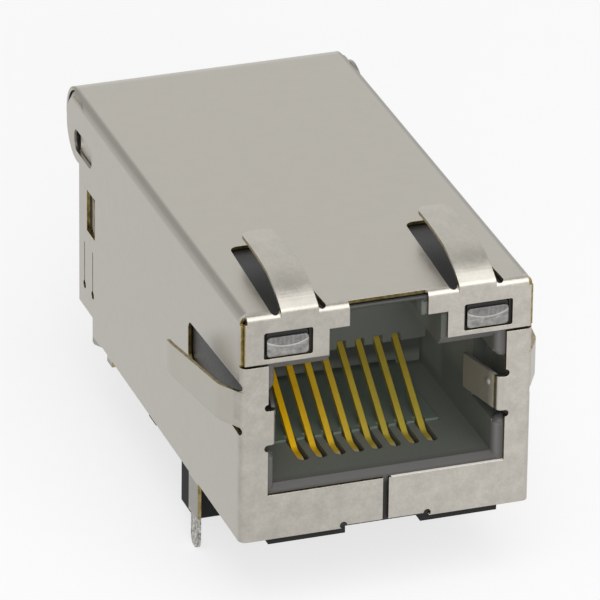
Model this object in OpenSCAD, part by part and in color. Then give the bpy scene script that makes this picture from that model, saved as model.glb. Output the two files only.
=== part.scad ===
// Shielded board jack for an eight-contact modular plug, latch side up, with two indicator lights and
// line transformers in its rear half. Millimetres. The board's top face is Z = 0, the plug enters
// towards +Y, and the origin lies midway between the two locating posts.

/* [Shield] */
// Width across the side panels
shield_w = 15.9; // [15.4:0.05:16.6]
// Height from the shield's bottom edge to the top of its roof
shield_h = 12.95; // [12.7:0.05:13.8]
// Length of the flat roof, from the front face to the curl at the rear
roof_l = 29.05; // [28.5:0.05:31]
// Thickness of the sheet metal
sheet_t = 0.2; // [0.16:0.01:0.24]
// Outer radius of the long bends beside the roof
roof_bend_r = 0.5; // [0.4:0.05:0.6]
// Outer radius of the bends round the front face
front_bend_r = 0.4; // [0.34:0.02:0.5]
// Height of the shield's bottom edge above the board
standoff = 0.5; // [0.4:0.05:0.8]
// Outer radius of the curl that joins the roof to the rear door
curl_r = 1.92; // [1.7:0.01:2]

/* [Front face] */
// Width of the plug opening in the sheet
opening_w = 12.96; // [12.7:0.02:13.2]
// Height of the opening's lower edge above the shield's bottom edge
opening_h = 2.58; // [2.4:0.02:2.8]
// Depth of the indicator flaps, from the roof's top down
flap_h = 2.75; // [2.7:0.05:3]
// Gap between a flap and the plate below it
flap_gap = 0.15; // [0.1:0.01:0.2]
// Width of the latch notch between the flaps, at the plug opening
latch_w = 6.45; // [6.2:0.05:6.6]
// Width of the latch notch above its step
latch_top_w = 4.27; // [4:0.01:4.6]
// Depth of the latch step below the roof's top
latch_step = 1.25; // [1.1:0.05:1.4]
// Width of the slit between the lower plates
slit_w = 0.32; // [0.2:0.02:0.5]
// Width of an indicator window
window_w = 2.65; // [2.4:0.05:2.8]
// Height of an indicator window
window_h = 1.5; // [1.3:0.05:1.6]
// Distance of a window from the shield's side face
window_side = 1.19; // [1:0.01:1.3]
// Distance of a window's centre below the roof's top
window_drop = 1.75; // [1.65:0.01:1.8]

/* [Ground tabs] */
// Distance of a tab's bend from the jack's centre plane
tab_x = 6.0; // [5.9:0.01:6.05]
// Height of a tab's lower edge above the shield's bottom edge
tab_low = 5.5; // [5.2:0.05:5.8]
// Height of a tab
tab_h = 1.95; // [1.6:0.05:2.1]
// Length of a tab behind its bend
tab_l = 3.05; // [2.2:0.05:3.2]
// Lean of a tab into the plug's way, in degrees
tab_lean = 13; // [8:1:15]

/* [Grounding fingers] */
// Distance of a roof finger from the jack's centre plane
roof_finger_x = 4.83; // [4.7:0.01:4.95]
// Width of a roof finger at its root
roof_finger_w = 2.05; // [1.8:0.05:2.15]
// Height of a side finger's middle above the shield's bottom edge
side_finger_z = 7.65; // [7.4:0.05:7.8]
// Width of a side finger at its root
side_finger_w = 2.05; // [1.9:0.05:2.3]
// Width of the slot along each edge of a finger
finger_slot = 0.47; // [0.35:0.01:0.5]
// Length of the window under a finger, from the front face
finger_window_l = 8.1; // [8:0.1:9]

/* [Plug cavity] */
// Width between the cavity's side walls
cavity_w = 12; // [11.9:0.05:12.3]
// Rise of the floor behind the mouth's chamfer
mouth_rise = 0.32; // [0.2:0.02:0.4]
// Depth of the floor's chamfer at the mouth
mouth_l = 0.5; // [0.3:0.05:0.7]
// Drop of the cavity's ceiling below the flaps
ceiling_drop = 0.75; // [0.7:0.05:0.9]
// Depth of the cavity, from the front face to the comb
comb_y = 8.55; // [8.3:0.05:9.3]
// Depth of the cavity below the comb
cavity_l = 11.6; // [11.2:0.1:12]

/* [Contacts] */
// Spacing of the contact springs
contact_pitch = 1.016; // [0.98:0.001:1.05]
// Width of a contact spring
contact_w = 0.33; // [0.28:0.01:0.36]
// Thickness of a contact spring
contact_t = 0.28; // [0.2:0.01:0.3]
// Distance of the hairpins' tips behind the front face
contact_tip_y = 2.9; // [2.8:0.05:3.1]
// Slope of the sprung stretch, in degrees
contact_slope = 36; // [33:1:38]

/* [Board fixings] */
// Distance of the locating posts behind the front face
post_y = 10.05; // [9.7:0.05:10.6]
// Distance of a post's middle from the jack's centre plane
post_x = 6.175; // [6:0.025:6.3]
// Width and length of a locating post
post_size = 2.6; // [2.4:0.05:2.7]
// Length of a locating post below the board's top face
post_l = 2.6; // [2:0.05:3]
// Distance of the ground pins' middle behind the front face
ground_pin_y = 7.7; // [7.4:0.05:7.9]
// Width of a ground pin at the shield
ground_pin_w = 1.5; // [1.3:0.05:1.7]
// Length of every pin below the board's top face
pin_l = 3.5; // [3:0.05:3.8]

/* [Indicators] */
// Length of an indicator's body
led_l = 3.6; // [3:0.1:5]
// Rim of dark plastic seen between a window's edge and the lens
led_rim = 0.2; // [0.15:0.01:0.25]
// The same rim above and below the lens
led_rim_low = 0.13; // [0.1:0.01:0.2]
// Thickness of an indicator's leads
led_wire = 0.4; // [0.3:0.02:0.5]

/* [Line module] */
// Thickness of the circuit board inside
board_t = 0.8; // [0.6:0.1:1]
// Height of that board's underside above the mounting face
board_z = 3.5; // [3.3:0.1:3.8]
// Spacing of the signal pins across the jack
signal_pitch = 1.02; // [0.95:0.01:1.05]
// Thickness of a signal pin
signal_t = 0.5; // [0.4:0.05:0.6]
// Distance of the front row of signal pins behind the front face
signal_y = 19.6; // [19:0.1:20.5]
// Distance between the two rows of signal pins
signal_row = 2.54; // [2.3:0.01:3]
// Outside diameter of a transformer core
core_d = 2.3; // [2:0.05:2.8]
// Height of a transformer core
core_h = 1.6; // [1.2:0.1:2.5]
// Outside diameter of a choke core
choke_d = 2; // [1.8:0.1:2.4]
// Outside height of a choke core
choke_h = 1.3; // [1:0.1:2]

/* [Hidden] */
CONTACTS = 8;
SIGNAL_PINS = 10;
CHANNELS = 4;
$fn = 32;

// How far a cutting shape runs past the face it cuts
cut = 0.5;
// Turn of one straight step along a bend, in degrees, and the longest such step
bend_step = 9;
step_l = 0.22;
// Gap between the sheet and the plastic inside it
fit = 0.05;

// Heights above the board
shield_z = standoff;
roof_z = standoff + shield_h;
flap_z = roof_z - flap_h;
plate_z = flap_z - flap_gap;
step_z = roof_z - latch_step;
opening_z = standoff + opening_h;
floor_z = opening_z + mouth_rise;
ceiling_z = flap_z - ceiling_drop;
window_z = roof_z - window_drop;
window_x = shield_w / 2 - window_side - window_w / 2;
tab_z = standoff + tab_low;

// Shield, rear end
side_setback = 1.45;
side_l = roof_l - side_setback;
door_bend_r = 0.3;
door_mid_y = side_l - fit - sheet_t / 2;
door_in_y = door_mid_y - sheet_t / 2;
door_rise = 1.05;
head_back = 1.1;
head_y = roof_l - head_back;
curl_side_gap = 0.1;
run_z = roof_z - 2 * curl_r + sheet_t / 2;
curl_gap = 0.06;
ear_l = 3.6;
ear_rise = 4.9;
ear_z = shield_z + ear_rise;
ear_h = 3.9;
ear_bend_r = 0.35;
ear_out_x = shield_w / 2 - sheet_t - fit;
barb_w = 1.9;
barb_l = 1.05;
barb_out = 0.22;
relief_slot_l = 3.15;
relief_slot_h = 1.3;
relief_slot_y = head_y + head_back / 2 - relief_slot_l / 2;
relief_slot_z = roof_z - curl_r - relief_slot_h / 2;
relief_slot_r = 0.5;
wing_l = 2.75;
wing_y = door_mid_y + 2 * door_bend_r - wing_l;
latch_window_l = 1.45;
latch_window_h = 2.45;
latch_window_setback = 2.1;
latch_window_rise = 7.05;
latch_window_y = side_l - latch_window_setback;
latch_window_z = shield_z + latch_window_rise;
tongue_slit_w = 0.12;
tongue_slit_h = 2.6;
tongue_hole_r = 0.23;
tongue_w = 1.45;
tongue_setback = 0.95;
tongue_rise = 2.35;
tongue_y = side_l - tongue_setback;
tongue_z = shield_z + tongue_rise;
corner_notch_l = 2.4;
corner_notch_h = 1;
heel_w = 1.75;
heel_flat = 0.35;
heel_gap = 0.03;
nub_w = 0.85;
nub_h = 0.36;
nub_setback = 5.45;
nub_y = side_l - nub_setback;

// Shield, front face
flap_side_gap = 0.15;
flap_bend_inset = 0.3;
flap_fold_gap = 0.03;
window_r = 0.12;
relief_x = 2.3;
relief_r = 0.2;
edge_rise = 0.17;
notch_r = 0.2;
tab_bend_r = 0.35;
dimple_r = 0.3;
dimple_out = 0.1;
dimple_back = 0.7;
dimple_rise = 0.35;
slot_front_y = 0.14;

// Grounding fingers: the lift before the bend, the ramp and the two arcs of the crest
roof_finger_lift = 0.28;
roof_finger_ramp = 0.35;
roof_finger_ramp_turn = 34;
roof_finger_knee_r = 5;
roof_finger_knee_turn = 29;
roof_finger_crest_r = 26;
roof_finger_crest_turn = 9.5;
side_finger_lift = 0.05;
side_finger_ramp = 1.2;
side_finger_ramp_turn = 30;
side_finger_knee_r = 1.5;
side_finger_knee_turn = 21;
side_finger_run = 4.95;
side_finger_tip_r = 4;
side_finger_tip_turn = 16;
finger_taper = 0.3;
finger_tip_r = 0.6;
finger_window_taper = 0.7;
finger_window_r = 0.5;
side_window_more = 0.6;

// Ground pins
ground_pin_neck_w = 1.1;
ground_pin_shoulder_z = -1.7;

// Housing
front_gap = 0.02;
housing_y = sheet_t + front_gap;
housing_w = shield_w - 2 * (sheet_t + fit);
housing_top_z = roof_z - sheet_t - fit;
rear_gap = 0.15;
housing_l = door_in_y - rear_gap - housing_y;
roof_skin = 0.35;
wall = 0.62;
chamber_y = 13;
ear_pocket = 0.1;
tunnel_side = 0.2;
tunnel_floor = 0.65;
latch_side = 0.2;
latch_ledge = 0.25;
latch_bevel_l = 0.3;
latch_slot_l = 9;
pocket_side = 0.25;
pocket_end_gap = 0.25;
pocket_below = 0.55;
pocket_above = 0.95;
column_r = 0.5;
foot_x = 2.07;
foot_w = 4.22;
foot_setback = 0.4;
foot_l = 1.8;
rear_foot_l = 1.2;
post_edge_r = 0.3;
bevel_l = 0.7;
corner_back = 0.3;

// Contacts and the carrier that holds them
hairpin_r = 0.4;
hairpin_run = 0.5;
spring_bend_r = 0.8;
spring_l = 8.4;
tail_bend_r = 0.4;
tail_y = 14.8;
tail_stagger = 1.2;
tail_over = 0.3;
carrier_w = 9.2;
carrier_bottom = 0.5;
groove_side = 0.04;
slot_side = 0.13;
carrier_end_gap = 0.3;
slot_end_gap = 0.3;
comb_x = 5.2;
comb_rise = 2.95;
comb_skin = 0.35;
comb_notch_h = 0.45;
comb_side = 0.1;
ridge_rise = 0.12;
ridge_notch_l = 0.4;

// Line module
module_side_gap = 0.35;
board_front_gap = 0.4;
board_rear_gap = 0.5;
board_hole_r = 0.3;
lead_x = 0.7;
lead_drop = 1.2;
base_corner = 0.6;
core_bore_share = 0.5;
row_gap = 0.2;
winding_t = 0.16;
winding_turn = 290;
chip_l = 1.6;
chip_w = 0.8;
chip_h = 0.45;
chip_gap = 0.6;
capacitor_l = 4.6;
capacitor_w = 1.4;
capacitor_h = 1.6;
tails_end_y = tail_y + tail_stagger + contact_t / 2 + row_gap;
chip_row_y = tails_end_y + chip_l / 2;
core_row_y = tails_end_y + core_d / 2 + winding_t;
choke_row_y = core_row_y + core_d / 2 + 2 * winding_t + row_gap + choke_d / 2;

// A polyline that runs straight and then turns, once for each [straight, radius, turn] in moves
function heading(a) = [cos(a), sin(a)];
function left_of(a) = [-sin(a), cos(a)];
function bend_count(r, turn) = max(1, ceil(abs(turn) / bend_step), ceil(abs(turn) * PI * r / 180 / step_l));
function bend_point(c, r, a, turn, share) = c - sign(turn) * r * left_of(a + turn * share);
function walk(p, a, moves, i = 0) =
    i == len(moves) ? [p] :
    let (
        m = moves[i],
        q = p + m[0] * heading(a),
        c = q + sign(m[2]) * m[1] * left_of(a),
        n = bend_count(m[1], m[2]),
        end = m[2] == 0 ? q : bend_point(c, m[1], a, m[2], 1)
    )
    concat(
        m[0] > 0 ? [p] : [],
        m[2] == 0 ? [] : [for (k = [0:n - 1]) bend_point(c, m[1], a, m[2], k / n)],
        walk(end, a + m[2], moves, i + 1)
    );

// The outline of a strip of the given thickness along a polyline
function unit(v) = v / norm(v);
function lead_in(p, i) = unit(p[max(i, 1)] - p[max(i, 1) - 1]);
function lead_out(p, i) = unit(p[min(i, len(p) - 2) + 1] - p[min(i, len(p) - 2)]);
function along(p, i) = unit(lead_in(p, i) + lead_out(p, i));
function edge_point(p, i, d) =
    let (u = along(p, i)) p[i] + d / (u * lead_out(p, i)) * [-u[1], u[0]];
function strip(p, t) = concat(
    [for (i = [0:len(p) - 1]) edge_point(p, i, t / 2)],
    [for (i = [len(p) - 1:-1:0]) edge_point(p, i, -t / 2)]
);

// A drawing in Y and Z, pulled out along X about the centre plane
module across(w) {
    rotate([90, 0, 90]) linear_extrude(w, center = true) children();
}

// A drawing in X and Z, pulled out rearwards from y
module rearward(y, l) {
    translate([0, y + l, 0]) rotate([90, 0, 0]) linear_extrude(l) children();
}

// A drawing in X and Y, pulled up from z
module upward(z, h) {
    translate([0, 0, z]) linear_extrude(h) children();
}

module on_both_sides() {
    children();
    mirror([1, 0, 0]) children();
}

module rounded_rect(size, r) {
    translate([-size[0] / 2, -size[1] / 2 + r]) square([size[0], size[1] - 2 * r]);
    translate([-size[0] / 2 + r, -size[1] / 2]) square([size[0] - 2 * r, size[1]]);
    for (x = [-1, 1], y = [-1, 1])
        translate([x * (size[0] / 2 - r), y * (size[1] / 2 - r)]) circle(r);
}

// A door shape: square at the foot, rounded above
module arch(w, h, r) {
    translate([-w / 2, 0]) square([w, h - r]);
    translate([-w / 2 + r, 0]) square([w - 2 * r, h]);
    for (x = [-1, 1]) translate([x * (w / 2 - r), h - r]) circle(r);
}

// A quarter of a bend, its centre at the origin, its back in the -X, +Y quarter
module quarter_bend(r) {
    difference() {
        circle(r);
        circle(r - sheet_t);
        translate([0, -2 * r]) square([2 * r, 4 * r]);
        translate([-2 * r, -2 * r]) square([4 * r, 2 * r]);
    }
}

// Shield: roof and side panels

module channel_section() {
    translate([0, shield_z]) difference() {
        arch(shield_w, shield_h, roof_bend_r);
        translate([0, -cut])
            arch(shield_w - 2 * sheet_t, shield_h - sheet_t + cut, roof_bend_r - sheet_t);
    }
}

// What is cut from both side panels, drawn in Y and Z
module side_cuts() {
    translate([relief_slot_y, relief_slot_z])
        rounded_rect([relief_slot_l, relief_slot_h], relief_slot_r);
    translate([side_l - corner_notch_l, shield_z - cut])
        square([corner_notch_l + cut, corner_notch_h + cut]);
    translate([latch_window_y, latch_window_z]) square([latch_window_l, latch_window_h], center = true);
    for (y = [tongue_y - tongue_w, tongue_y]) {
        translate([y, tongue_z]) circle(tongue_hole_r);
        translate([y - tongue_slit_w / 2, tongue_z]) square([tongue_slit_w, tongue_slit_h]);
    }
}

module roof_and_sides() {
    difference() {
        union() {
            difference() {
                rearward(front_bend_r, roof_l - front_bend_r) channel_section();
                across(shield_w + cut) translate([side_l, shield_z - cut])
                    square([side_setback + cut, roof_z - roof_bend_r - shield_z + cut]);
            }
            on_both_sides() translate([shield_w / 2 - sheet_t / 2, head_y, roof_z - curl_r])
                across(sheet_t) circle(curl_r - curl_gap);
        }
        across(shield_w + cut) side_cuts();
    }
    lip_y = sheet_t + flap_fold_gap;
    on_both_sides() translate([shield_w / 2 - sheet_t, lip_y, plate_z + flap_gap])
        cube([sheet_t, front_bend_r - lip_y, roof_z - roof_bend_r - plate_z - flap_gap]);
}

// Shield: curl and rear door

// Behind the roof the sheet curls under, between the side panels' round heads, and turns down as the door
module rear_door() {
    curl_mid = curl_r - sheet_t / 2;
    run = roof_l - door_mid_y - door_bend_r;
    across(2 * (ear_out_x - curl_side_gap))
        polygon(strip(walk([roof_l, roof_z - sheet_t / 2], 0, [[0, curl_mid, -180]]), sheet_t));
    across(2 * (ear_out_x - ear_bend_r))
        polygon(strip(walk([roof_l, run_z], 180, [
            [run, door_bend_r, 90],
            [run_z - door_bend_r - shield_z - door_rise, door_bend_r, 0]
        ]), sheet_t));
    on_both_sides() {
        door_ear();
        door_wing();
    }
}

// A wing folded up from the door's upper end, which shows in the side panel's slot
module door_wing() {
    turn_r = ear_bend_r - sheet_t / 2;
    h = relief_slot_z + relief_slot_h / 2 + sheet_t - run_z - turn_r;
    rearward(wing_y, wing_l)
        polygon(strip(walk([ear_out_x - ear_bend_r, run_z], 0, [[0, turn_r, 90], [h, turn_r, 0]]), sheet_t));
}

// An ear folded forward inside the side panel, with the barb that shows in the latch window
module door_ear() {
    turn_r = ear_bend_r - sheet_t / 2;
    upward(ear_z, ear_h)
        polygon(strip(walk([ear_out_x - ear_bend_r, door_mid_y], 0, [
            [0, turn_r, -90],
            [ear_l, turn_r, 0]
        ]), sheet_t));
    upward(latch_window_z - barb_w / 2, barb_w)
        translate([ear_out_x, latch_window_y])
            polygon([[0, barb_l / 2], [-sheet_t / 2, -barb_l / 2], [barb_out, -barb_l / 2]]);
}

// Shield: indicator flaps

module flap_outline() {
    outer = shield_w / 2 - flap_side_gap;
    polygon([
        [latch_top_w / 2, step_z], [latch_top_w / 2, roof_z - front_bend_r],
        [outer, roof_z - front_bend_r], [outer, flap_z],
        [latch_w / 2, flap_z], [latch_w / 2, step_z]
    ]);
}

module flap() {
    bend_w = shield_w / 2 - flap_bend_inset - latch_top_w / 2;
    rearward(0, sheet_t) difference() {
        flap_outline();
        translate([window_x, window_z]) rounded_rect([window_w, window_h], window_r);
    }
    translate([latch_top_w / 2 + bend_w / 2, 0, 0])
        across(bend_w) translate([front_bend_r, roof_z - front_bend_r]) quarter_bend(front_bend_r);
}

// Shield: lower plates and ground tabs

module plate_outline() {
    inner = opening_w / 2;
    outer = shield_w / 2 - front_bend_r;
    difference() {
        union() {
            polygon([
                [slit_w / 2, shield_z + edge_rise], [relief_x, shield_z + edge_rise],
                [relief_x, shield_z], [outer, shield_z], [outer, plate_z],
                [inner, plate_z], [inner, opening_z], [slit_w / 2, opening_z]
            ]);
            translate([tab_x + tab_bend_r, tab_z]) square([outer - tab_x - tab_bend_r, tab_h]);
        }
        translate([relief_x, shield_z + edge_rise]) circle(relief_r);
        for (z = [tab_z - notch_r, tab_z + tab_h + notch_r])
            translate([inner, z]) circle(notch_r);
    }
}

module lower_plate() {
    rearward(0, sheet_t) plate_outline();
    upward(shield_z, plate_z - shield_z)
        translate([shield_w / 2 - front_bend_r, front_bend_r]) rotate(-90) mirror([1, 0])
            quarter_bend(front_bend_r);
}

// The plate's middle stretch, folded back along the cavity's wall and leaning into the plug's way
module ground_tab() {
    start = [tab_x + tab_bend_r, sheet_t / 2];
    turn_r = tab_bend_r - sheet_t / 2;
    path = walk(start, 180, [[0, turn_r, -90 + tab_lean], [tab_l, turn_r, 0]]);
    tip = path[len(path) - 1];
    upward(tab_z, tab_h) polygon(strip(path, sheet_t));
    translate([tip[0], tip[1], tab_z + tab_h / 2 + dimple_rise])
        rotate(90 + tab_lean) translate([dimple_back - tab_l, 0, 0])
        intersection() {
            translate([0, sheet_t / 2 + dimple_out - dimple_r, 0]) sphere(dimple_r);
            translate([0, dimple_r, 0]) cube(2 * dimple_r, center = true);
        }
}

// Shield: grounding fingers, drawn with the sheet's outer face at z = 0

module finger_plan(w, l) {
    tip_w = w - finger_taper;
    polygon([[-w / 2, -cut], [w / 2, -cut], [tip_w / 2, l - finger_tip_r], [-tip_w / 2, l - finger_tip_r]]);
    translate([-tip_w / 2 + finger_tip_r, 0]) square([tip_w - 2 * finger_tip_r, l]);
    for (s = [-1, 1])
        translate([s * (tip_w / 2 - finger_tip_r), l - finger_tip_r]) circle(finger_tip_r);
}

module finger(w, path) {
    l = path[len(path) - 1][0];
    intersection() {
        across(2 * w) polygon(strip(path, sheet_t));
        translate([0, 0, -shield_w / 2]) linear_extrude(shield_w) finger_plan(w, l);
    }
}

module finger_window(w, l) {
    rear_w = w + 2 * finger_slot - finger_window_taper;
    r = finger_window_r;
    half = w / 2 + finger_slot;
    polygon([[-half, slot_front_y + finger_slot / 2], [half, slot_front_y + finger_slot / 2],
        [rear_w / 2, l - r], [-rear_w / 2, l - r]]);
    translate([-rear_w / 2 + r, slot_front_y + finger_slot / 2])
        square([rear_w - 2 * r, l - slot_front_y - finger_slot / 2]);
    for (s = [-1, 1]) {
        translate([s * (rear_w / 2 - r), l - r]) circle(r);
        translate([s * (half - finger_slot / 2), slot_front_y + finger_slot / 2]) circle(finger_slot / 2);
    }
}

roof_finger_path = walk([sheet_t / 2, -front_bend_r], 90, [
    [roof_finger_lift, front_bend_r - sheet_t / 2, roof_finger_ramp_turn - 90],
    [roof_finger_ramp, roof_finger_knee_r, -roof_finger_knee_turn],
    [0, roof_finger_crest_r, -roof_finger_crest_turn]
]);
side_finger_path = walk([sheet_t / 2, -front_bend_r], 90, [
    [side_finger_lift, front_bend_r - sheet_t / 2, side_finger_ramp_turn - 90],
    [side_finger_ramp, side_finger_knee_r, -side_finger_knee_turn],
    [side_finger_run, side_finger_tip_r, -side_finger_tip_turn]
]);

module on_roof() {
    translate([roof_finger_x, 0, roof_z]) children();
}

module on_side() {
    translate([shield_w / 2, 0, shield_z + side_finger_z]) rotate([0, 90, 0]) children();
}

module window_cut(w, l) {
    translate([0, 0, -front_bend_r]) linear_extrude(front_bend_r + cut) finger_window(w, l);
}

// Shield: ground pins, and the heel and nub along each side panel's bottom edge

module ground_pin_outline() {
    neck_front = ground_pin_y - ground_pin_w / 2;
    tip_r = ground_pin_neck_w / 2;
    translate([neck_front, ground_pin_shoulder_z])
        square([ground_pin_w, shield_z - ground_pin_shoulder_z + sheet_t]);
    translate([neck_front, -pin_l + tip_r]) square([ground_pin_neck_w, pin_l - tip_r]);
    translate([neck_front + tip_r, -pin_l + tip_r]) circle(tip_r);
}

module heel_outline() {
    rear = side_l - corner_notch_l;
    polygon([
        [rear, shield_z + sheet_t], [rear, heel_gap], [rear - heel_flat, heel_gap],
        [rear - heel_w, shield_z], [rear - heel_w, shield_z + sheet_t]
    ]);
}

module nub_outline() {
    translate([nub_y - nub_w / 2, shield_z - nub_h]) square([nub_w, nub_h + sheet_t]);
}

module shield() {
    color("#bdb9b0") {
        difference() {
            union() {
                roof_and_sides();
                on_both_sides() {
                    flap();
                    lower_plate();
                }
            }
            on_both_sides() {
                on_roof() window_cut(roof_finger_w, finger_window_l);
                on_side() window_cut(side_finger_w, finger_window_l + side_window_more);
            }
        }
        on_both_sides() {
            on_roof() finger(roof_finger_w, roof_finger_path);
            on_side() finger(side_finger_w, side_finger_path);
            ground_tab();
            translate([shield_w / 2 - sheet_t / 2, 0, 0]) across(sheet_t) {
                ground_pin_outline();
                heel_outline();
                nub_outline();
            }
        }
        rear_door();
    }
}

// Housing

module housing_body() {
    h = housing_top_z - shield_z;
    mid_y = housing_y + housing_l / 2;
    intersection() {
        rearward(housing_y, housing_l)
            translate([0, shield_z]) arch(housing_w, h, roof_bend_r - sheet_t);
        upward(shield_z, h)
            translate([0, mid_y]) rounded_rect([housing_w, housing_l], front_bend_r - sheet_t);
        across(housing_w)
            translate([mid_y, shield_z]) arch(housing_l, h, front_bend_r - sheet_t);
    }
    on_both_sides() {
        translate([foot_x, foot_setback, 0]) cube([foot_w, foot_l, shield_z + sheet_t]);
        translate([chamber_half_w(), chamber_y + foot_l, 0])
            cube([wall, rear_foot_l, shield_z + sheet_t]);
        translate([post_x, post_y, -post_l])
            linear_extrude(post_l + shield_z + sheet_t)
                rounded_rect([post_size, post_size], post_edge_r);
    }
}

function chamber_half_w() = housing_w / 2 - wall;

// Both side walls of the mouth end in round columns, which the tab's pocket interrupts
column_x = cavity_w / 2 + column_r;
column_y = housing_y + column_r;
pocket_low_z = tab_z - pocket_below;
pocket_high_z = tab_z + tab_h + pocket_above;

module plug_cavity() {
    translate([-cavity_w / 2, -cut, floor_z]) cube([cavity_w, cut + cavity_l, ceiling_z - floor_z]);
    translate([-column_x, -cut, floor_z]) cube([2 * column_x, cut + column_y, ceiling_z - floor_z]);
    // Chamfers on the floor and the ceiling of the mouth
    across(2 * column_x) polygon([
        [housing_y - cut, opening_z - cut * mouth_rise / mouth_l],
        [housing_y + mouth_l, floor_z], [housing_y - cut, floor_z + cut]
    ]);
    across(2 * column_x) polygon([
        [housing_y - cut, flap_z + cut * ceiling_drop / bevel_l],
        [housing_y + bevel_l, ceiling_z], [housing_y - cut, ceiling_z - cut]
    ]);
}

module columns() {
    translate([column_x, column_y, opening_z - sheet_t])
        cylinder(r = column_r, h = pocket_low_z - column_r - opening_z + sheet_t);
    translate([column_x, column_y, pocket_low_z - column_r]) sphere(column_r);
    translate([column_x, column_y, pocket_high_z + column_r]) {
        sphere(column_r);
        cylinder(r = column_r, h = ceiling_z + tunnel_floor - pocket_high_z - column_r);
    }
}

module latch_slot() {
    low = latch_w / 2 - latch_side;
    high = latch_top_w / 2 - latch_side;
    step = step_z - latch_ledge;
    translate([-low, -cut, ceiling_z - cut]) cube([2 * low, cut + latch_slot_l, step - ceiling_z + cut]);
    translate([-high, -cut, step - cut])
        cube([2 * high, cut + latch_slot_l, housing_top_z - roof_skin - step + cut]);
    // Bevels on the slot's front edges
    slot_bevel(low, ceiling_z - cut, step);
    slot_bevel(high, step - cut, housing_top_z - roof_skin);
}

module slot_bevel(half, bottom, top) {
    grow = latch_side * cut / latch_bevel_l;
    upward(bottom, top - bottom) polygon([
        [-half - latch_side - grow, housing_y - cut], [half + latch_side + grow, housing_y - cut],
        [half, housing_y + latch_bevel_l], [-half, housing_y + latch_bevel_l]
    ]);
    across(2 * half) polygon([
        [housing_y - cut, top + latch_side + grow], [housing_y + latch_bevel_l, top],
        [housing_y - cut, top - cut]
    ]);
}

module indicator_tunnel() {
    half = window_w / 2 + tunnel_side;
    bottom = ceiling_z + tunnel_floor;
    translate([window_x - half, housing_y + front_wall(), bottom])
        cube([2 * half, chamber_y, housing_top_z - roof_skin - bottom]);
    translate([window_x, 0, window_z]) rotate([-90, 0, 0])
        linear_extrude(2 * cut + housing_y + front_wall())
            rounded_rect([lens_w() + 2 * fit, lens_h() + 2 * fit], window_r);
}

function front_wall() = 2 * sheet_t;
function lens_w() = window_w - 2 * led_rim;
function lens_h() = window_h - 2 * led_rim_low;

module tab_pocket() {
    translate([cavity_w / 2 - cut, -cut, pocket_low_z - column_r / 2])
        cube([
            cut + column_r + pocket_side, cut + tab_bend_r + tab_l + pocket_end_gap,
            pocket_high_z - pocket_low_z + column_r
        ]);
}

// The chamber behind the cavity, open below and at the rear, and narrower where the ears lie
module rear_chamber() {
    half = chamber_half_w();
    translate([-half, chamber_y, shield_z - cut])
        cube([2 * half, housing_l + cut, housing_top_z - roof_skin - shield_z + cut]);
    ear_front = door_mid_y - ear_l - ear_bend_r - ear_pocket;
    wing_low = run_z - sheet_t / 2 - ear_pocket;
    wing_high = relief_slot_z + relief_slot_h / 2 + sheet_t + ear_pocket;
    on_both_sides() {
        translate([half - cut, ear_front, ear_z - ear_pocket])
            cube([wall + 2 * cut, housing_l, ear_h + 2 * ear_pocket]);
        translate([half - cut, wing_y - ear_pocket, wing_low])
            cube([wall + 2 * cut, housing_l, wing_high - wing_low]);
    }
}

// The lower rear corners, cut back behind the shield's own corner notches
module rear_corners() {
    notch_y = side_l - corner_notch_l - corner_back;
    on_both_sides()
        translate([chamber_half_w() - cut, notch_y, shield_z - cut])
            cube([wall + 2 * cut, housing_l, corner_notch_h + corner_back + cut]);
}

// The comb that keeps the springs apart: a slot for each, closed in front above a short notch
module comb_block() {
    comb_z = floor_z + comb_rise;
    gap = contact_w + 2 * comb_side;
    difference() {
        translate([-comb_x, comb_y, comb_z])
            cube([2 * comb_x, cavity_l - comb_y + sheet_t, ceiling_z - comb_z + sheet_t]);
        for (i = [1:CONTACTS]) translate([contact_x(i) - gap / 2, comb_y, comb_z - cut]) {
            translate([0, -cut, 0]) cube([gap, 2 * cut, comb_notch_h + cut]);
            translate([0, comb_skin, 0]) cube([gap, cavity_l, ceiling_z - comb_z + cut - sheet_t]);
        }
    }
}

// Under the springs: a slot for each hairpin in the floor, and the pocket for the carrier behind them
module floor_slots() {
    slot_w = contact_w + 2 * slot_side;
    front = contact_tip_y - slot_end_gap + slot_w / 2;
    bottom = tail_z - contact_t / 2 - slot_side;
    for (i = [1:CONTACTS]) translate([contact_x(i), front, bottom]) {
        cylinder(d = slot_w, h = floor_z - bottom + cut);
        translate([-slot_w / 2, 0, 0]) cube([slot_w, carrier_y - front + fit, floor_z - bottom + cut]);
    }
}

module carrier_pocket() {
    translate([-carrier_w / 2 - fit, carrier_y - fit, shield_z + carrier_bottom - fit])
        cube([carrier_w + 2 * fit, chamber_y, floor_z - shield_z - carrier_bottom + cut / 2]);
}

module housing() {
    color("#3c3c3a") {
        difference() {
            housing_body();
            plug_cavity();
            latch_slot();
            on_both_sides() {
                indicator_tunnel();
                tab_pocket();
            }
            rear_chamber();
            rear_corners();
            floor_slots();
            carrier_pocket();
        }
        comb_block();
        on_both_sides() columns();
    }
}

// Contacts and their carrier

function contact_x(i) = (i - (CONTACTS + 1) / 2) * contact_pitch;
hairpin_y = contact_tip_y + contact_t / 2 + hairpin_r;
contact_top_z = floor_z - 1.4 * contact_t;
tail_z = contact_top_z - 2 * hairpin_r;
carrier_y = hairpin_y + hairpin_run + spring_bend_r + fit;

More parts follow.
